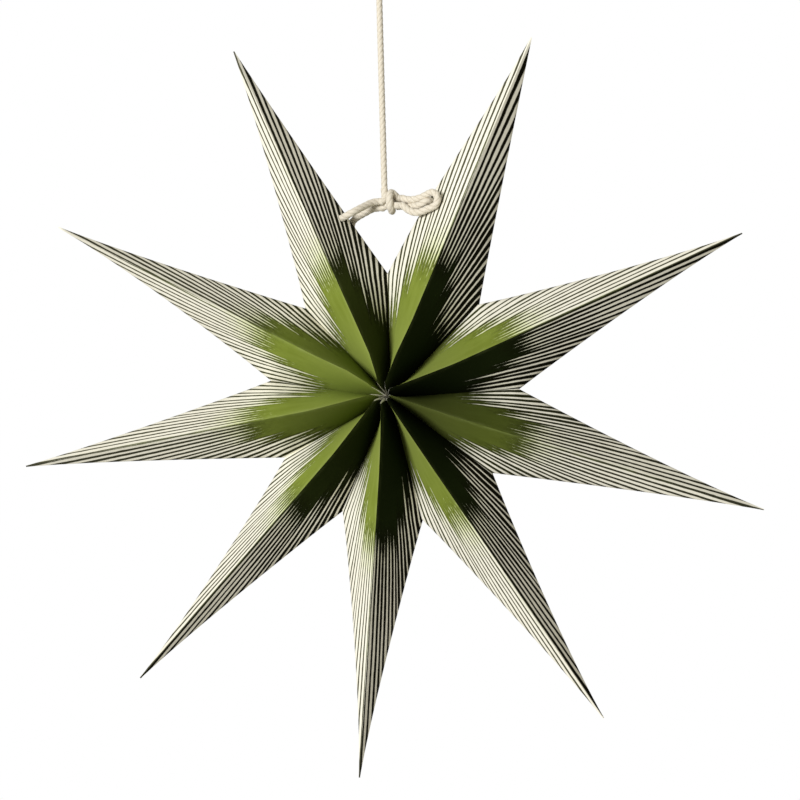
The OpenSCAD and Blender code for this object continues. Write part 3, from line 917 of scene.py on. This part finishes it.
# Painted shade: thicker lines on the half panels that face away from the lamp
painted_shade_lines = ink.product(shade_at, ink.ramp(reach_at, *SHADE_STRETCH, 0.0, SHADE_THICKENING))
half_line = ink.total(ink.product(fill_at, line_share), rough_edge, tip_ink, painted_shade_lines)
print("nodes with the lines:", len(ink.tree.nodes))

# %% How far the green reaches: furthest at the ridge, least beside the glued side
# How unevenly the gaps open, how far ahead of its start a gap begins to open, and within what reach
GAP_STAGGER, OPENS_AHEAD, OPENS_WITHIN = 0.03, 0.1, 0.15
# How far the brush spreads from a line, how ragged that is, and how soft the edge of the ink is
BRUSH_SPREAD, BRUSH_RAGGED, INK_EDGE = 0.6, 0.9, 0.06
gap_number = ink.maths("FLOOR", drawn_line)
gap_share = ink.maths("DIVIDE", ink.total(gap_number, 0.5), float(LINE_COUNT))
start_points = [((k + 0.5) / LINE_COUNT, start) for k, start in enumerate(GAP_STARTS)]
gap_luck = ink.chance(ink.vector(gap_number, seed_far, 3.0))
stagger = ink.product(ink.maths("SUBTRACT", gap_luck, 0.5), GAP_STAGGER)
gap_start = ink.total(ink.curve(gap_share, start_points), stagger)
past_green = ink.maths("SUBTRACT", reach_at, gap_start)
dry_brush = streaks(2.2, 75.0, 4.0)
opening_run = ink.total(past_green, OPENS_AHEAD)
closing = ink.maths("SUBTRACT", 1.0, ink.maths("DIVIDE", opening_run, OPENS_WITHIN, clamp=True))
brush_reach = ink.maths("MULTIPLY_ADD", dry_brush, BRUSH_RAGGED, BRUSH_SPREAD)
covered_half = ink.total(half_line, ink.product(closing, brush_reach))
covered = ink.ramp(ink.maths("SUBTRACT", covered_half, from_line), -INK_EDGE, INK_EDGE)
print("nodes with the green:", len(ink.tree.nodes))

# %% Colours of lines and of the green wash
# How ragged the end of the wash is, and how softly it turns into ink
WASH_RAGGED, WASH_EDGE = 0.12, 0.07
start_near = ink.curve(ink.maths("DIVIDE", drawn_line, float(LINE_COUNT)), start_points)
past_wash = ink.total(ink.maths("SUBTRACT", reach_at, start_near), ink.product(dry_brush, WASH_RAGGED))
inked = ink.ramp(past_wash, -WASH_EDGE, WASH_EDGE)
line_ink = ink.blend(ink.ramp(reach_at, 0.25, 0.6), DARK_OLIVE, CHARCOAL)
# Painted shade: the lines turn black on the half panels that face away from the lamp
line_ink = ink.blend(shade_at, line_ink, PAINTED_SHADE_INK)
brushed = ink.product(streaks(0.5, 14.0, 3.0), BRUSH_RAGGED)
green_tone = ink.blend(ink.ramp(brushed, -0.3, 0.3), BRUSHED_GREEN, LEAF_GREEN)
# Painted light: the green grows lighter towards the middle
green_tone = ink.blend(ink.ramp(reach_at, 0.28, 0.1), green_tone, PAINTED_LIGHT_GREEN)
# Painted shade: the green turns dark on those half panels
green_tone = ink.blend(shade_at, green_tone, PAINTED_SHADE_GREEN)
line_colour = ink.blend(inked, green_tone, line_ink)
print("nodes with the inks:", len(ink.tree.nodes))

# %% Colours of the gaps, and wear and a painted highlight along the ridge
# Pale green in the gaps: most near the ridge, least beside the side, and how much less where painted shade
# lies
WASH_MOST, WASH_LEAST, WASH_LESS_IN_SHADE = 0.75, 0.15, 0.6
# Pale strip on the ridge, partly wear and partly a painted highlight where the fold catches the lamp: how
# strong, how much less where painted shade lies, and the stretch of the reach where it fades
WEAR_AND_HIGHLIGHT, HIGHLIGHT_LESS_IN_SHADE, WEAR_AND_HIGHLIGHT_STRETCH = 0.35, 0.75, (0.85, 0.6)
before_wash_ends = ink.maths("SUBTRACT", 1.0, ink.ramp(past_wash, -0.03, 0.15))
gap_wash = ink.product(before_wash_ends, ink.ramp(across_at, 0.75, 0.1, WASH_LEAST, WASH_MOST),
                       ink.maths("MULTIPLY_ADD", shade_at, -WASH_LESS_IN_SHADE, 1.0))
gap_colour = ink.blend(gap_wash, CREAM, PALE_GREEN)
print_colour = ink.blend(covered, gap_colour, line_colour)
fold_wear_and_highlight = ink.product(ink.ramp(ridge_at, 0.2, 0.02), ink.ramp(streaks(1.0, 30.0, 3.0), -0.2, 0.25),
                        ink.ramp(reach_at, *WEAR_AND_HIGHLIGHT_STRETCH, 0.0, WEAR_AND_HIGHLIGHT),
                        ink.maths("MULTIPLY_ADD", shade_at, -HIGHLIGHT_LESS_IN_SHADE, 1.0))
print_colour = ink.blend(fold_wear_and_highlight, print_colour, FOLD_GREEN)
cloud_share = ink.ramp(add_fibre(ink, ink_shader), 0.3, 0.7, 0.0, 0.12)
print_colour = ink.blend(cloud_share, print_colour, CLOUD_TONE, "MULTIPLY")
ink.fill(ink_shader, {"Base Color": print_colour, "Roughness": 0.88, "Specular IOR Level": 0.02})
print("nodes in the print:", len(ink.tree.nodes))

# %% [markdown]
# ## Plain paper
# Inside the rays and on the cut edges the paper is bare and cream. A flat colour would look like plastic, so
# it has the same fibre as the printed face.

# %% Paint the plain paper
SHADED_PAPER = screen_colour(240, 236, 222)
BRIGHT_PAPER = screen_colour(252, 250, 240)
plain, plain_shader = open_material(plain_paper)
bright_share = plain.ramp(add_fibre(plain, plain_shader), 0.3, 0.7)
plain_tone = plain.blend(bright_share, SHADED_PAPER, BRIGHT_PAPER)
plain.fill(plain_shader, {"Base Color": plain_tone, "Roughness": 0.9, "Specular IOR Level": 0.2})
print("papers:", printed_paper.name, "and", plain_paper.name)

# %% [markdown]
# ## Cotton
# Undyed cotton is a warm off-white. Its fibres run along each ply at a slant, and the grooves between the
# plies are darker. The yarn UV map tells how far round and how far along a point is, so the fibres
# follow the rope wherever it bends.

# %% Colour the cord
SHADED_COTTON = screen_colour(208, 199, 182)
BRIGHT_COTTON = screen_colour(232, 225, 210)
GROOVE_TONE, GROOVE_SHARE = screen_colour(160, 146, 120), 0.4
# How much the fibres slant, and how fine they are round the cord and along it
FIBRE_SLANT, FIBRES_ROUND, FIBRES_ALONG = 0.35, 42.0, 7.0
FIBRE_DEPTH, FIBRE_STRENGTH = 0.15, 0.5
cotton = bpy.data.materials.new("twisted cotton")
yarn, yarn_shader = open_material(cotton)
round_at, along_at = yarn.uv_pair("yarn")
slant = yarn.maths("MULTIPLY_ADD", along_at, FIBRE_SLANT, round_at)
fibre_place = yarn.vector(yarn.product(slant, FIBRES_ROUND), yarn.product(along_at, FIBRES_ALONG))
fibres = yarn.noise(fibre_place, 1.0, 3.0, 0.6)
ply_turn = yarn.maths("FRACT", yarn.product(round_at, float(PLY_COUNT)))
groove = yarn.maths("ABSOLUTE", yarn.maths("SUBTRACT", ply_turn, 0.5))
# Darker colour in the grooves between the plies
groove_darkening = yarn.product(yarn.ramp(groove, 0.16, 0.0), GROOVE_SHARE)
cotton_tone = yarn.blend(yarn.ramp(fibres, 0.3, 0.7), SHADED_COTTON, BRIGHT_COTTON)
cotton_tone = yarn.blend(groove_darkening, cotton_tone, GROOVE_TONE)
yarn.fill(yarn_shader, {"Base Color": cotton_tone, "Roughness": 0.95, "Specular IOR Level": 0.1,
                        "Sheen Weight": 0.25})
yarn.bump(yarn_shader, fibres, FIBRE_STRENGTH, FIBRE_DEPTH)
ropes = [hanging_loop, left_strand, right_strand, tail_strand, tie_knot, loop_knot, hanging_strand]
for rope in ropes:
    rope.data.materials.append(cotton)
print("ropes coloured:", len(ropes))

# %% [markdown]
# ## Floor, light and background
# The star hangs in front of plain white. The world is white where the camera sees it, and only a weak, warm
# fill for the paper. One strong lamp shines from the front and the left, 60 degrees off the star's plane, so
# the facets that face left are lighter; painted shade makes most of the others darker still. The floor lies
# far below the picture and only shows in views from above.

# %% Lay the floor
FLOOR_Z, FLOOR_RADIUS = -0.70, 0.62
bpy.ops.object.select_all(action="DESELECT")
bpy.ops.mesh.primitive_circle_add(vertices=96, radius=FLOOR_RADIUS, fill_type="NGON", location=(0, 0, 0))
floor = bpy.context.object
floor.name = "pale_floor"
floor.data.transform(Matrix.Translation((0, 0, FLOOR_Z)))
floor_paint = bpy.data.materials.new("pale floor")
ground, ground_shader = open_material(floor_paint)
ground.fill(ground_shader, {"Base Color": (0.9, 0.9, 0.9, 1), "Roughness": 0.9})
floor.data.materials.append(floor_paint)
print("floor height in m:", FLOOR_Z)

# %% Set the lamp
KEY_ELEVATION = math.radians(60)
KEY_BEARING = math.radians(168)
to_key = Vector((math.cos(KEY_ELEVATION) * math.cos(KEY_BEARING), -math.sin(KEY_ELEVATION),
                 math.cos(KEY_ELEVATION) * math.sin(KEY_BEARING)))
bpy.ops.object.light_add(type="SUN")
key_lamp = bpy.context.object
key_lamp.name = "key_lamp"
key_lamp.data.energy = 3.1
key_lamp.data.angle = math.radians(20)
key_lamp.rotation_euler = to_key.to_track_quat("Z", "Y").to_euler()
print("the lamp shines from", [round(c, 2) for c in to_key])

# %% Set the white ground and the fill
world = bpy.data.worlds.new("white studio")
bpy.context.scene.world = world
world.use_nodes = True
sky = Recipe(world.node_tree)
sky.tree.nodes.clear()
seen = sky.node("ShaderNodeLightPath")
plain_seen = sky.maths("MAXIMUM", seen.outputs["Is Camera Ray"], seen.outputs["Is Glossy Ray"])
plain_seen = sky.maths("MAXIMUM", plain_seen, seen.outputs["Is Transmission Ray"])
fill_light = sky.node("ShaderNodeBackground")
sky.fill(fill_light, {"Color": (1, 0.965, 0.84, 1), "Strength": 0.38})
white_ground = sky.node("ShaderNodeBackground")
sky.fill(white_ground, {"Color": (1, 1, 1, 1)})
sky_mix = sky.node("ShaderNodeMixShader")
sky_lit = sky.step(sky_mix, plain_seen, fill_light.outputs[0], white_ground.outputs[0])
sky.fill(sky.node("ShaderNodeOutputWorld"), {"Surface": sky_lit})
bpy.context.scene.view_settings.view_transform = "Standard"
print("nodes in the world:", len(sky.tree.nodes))
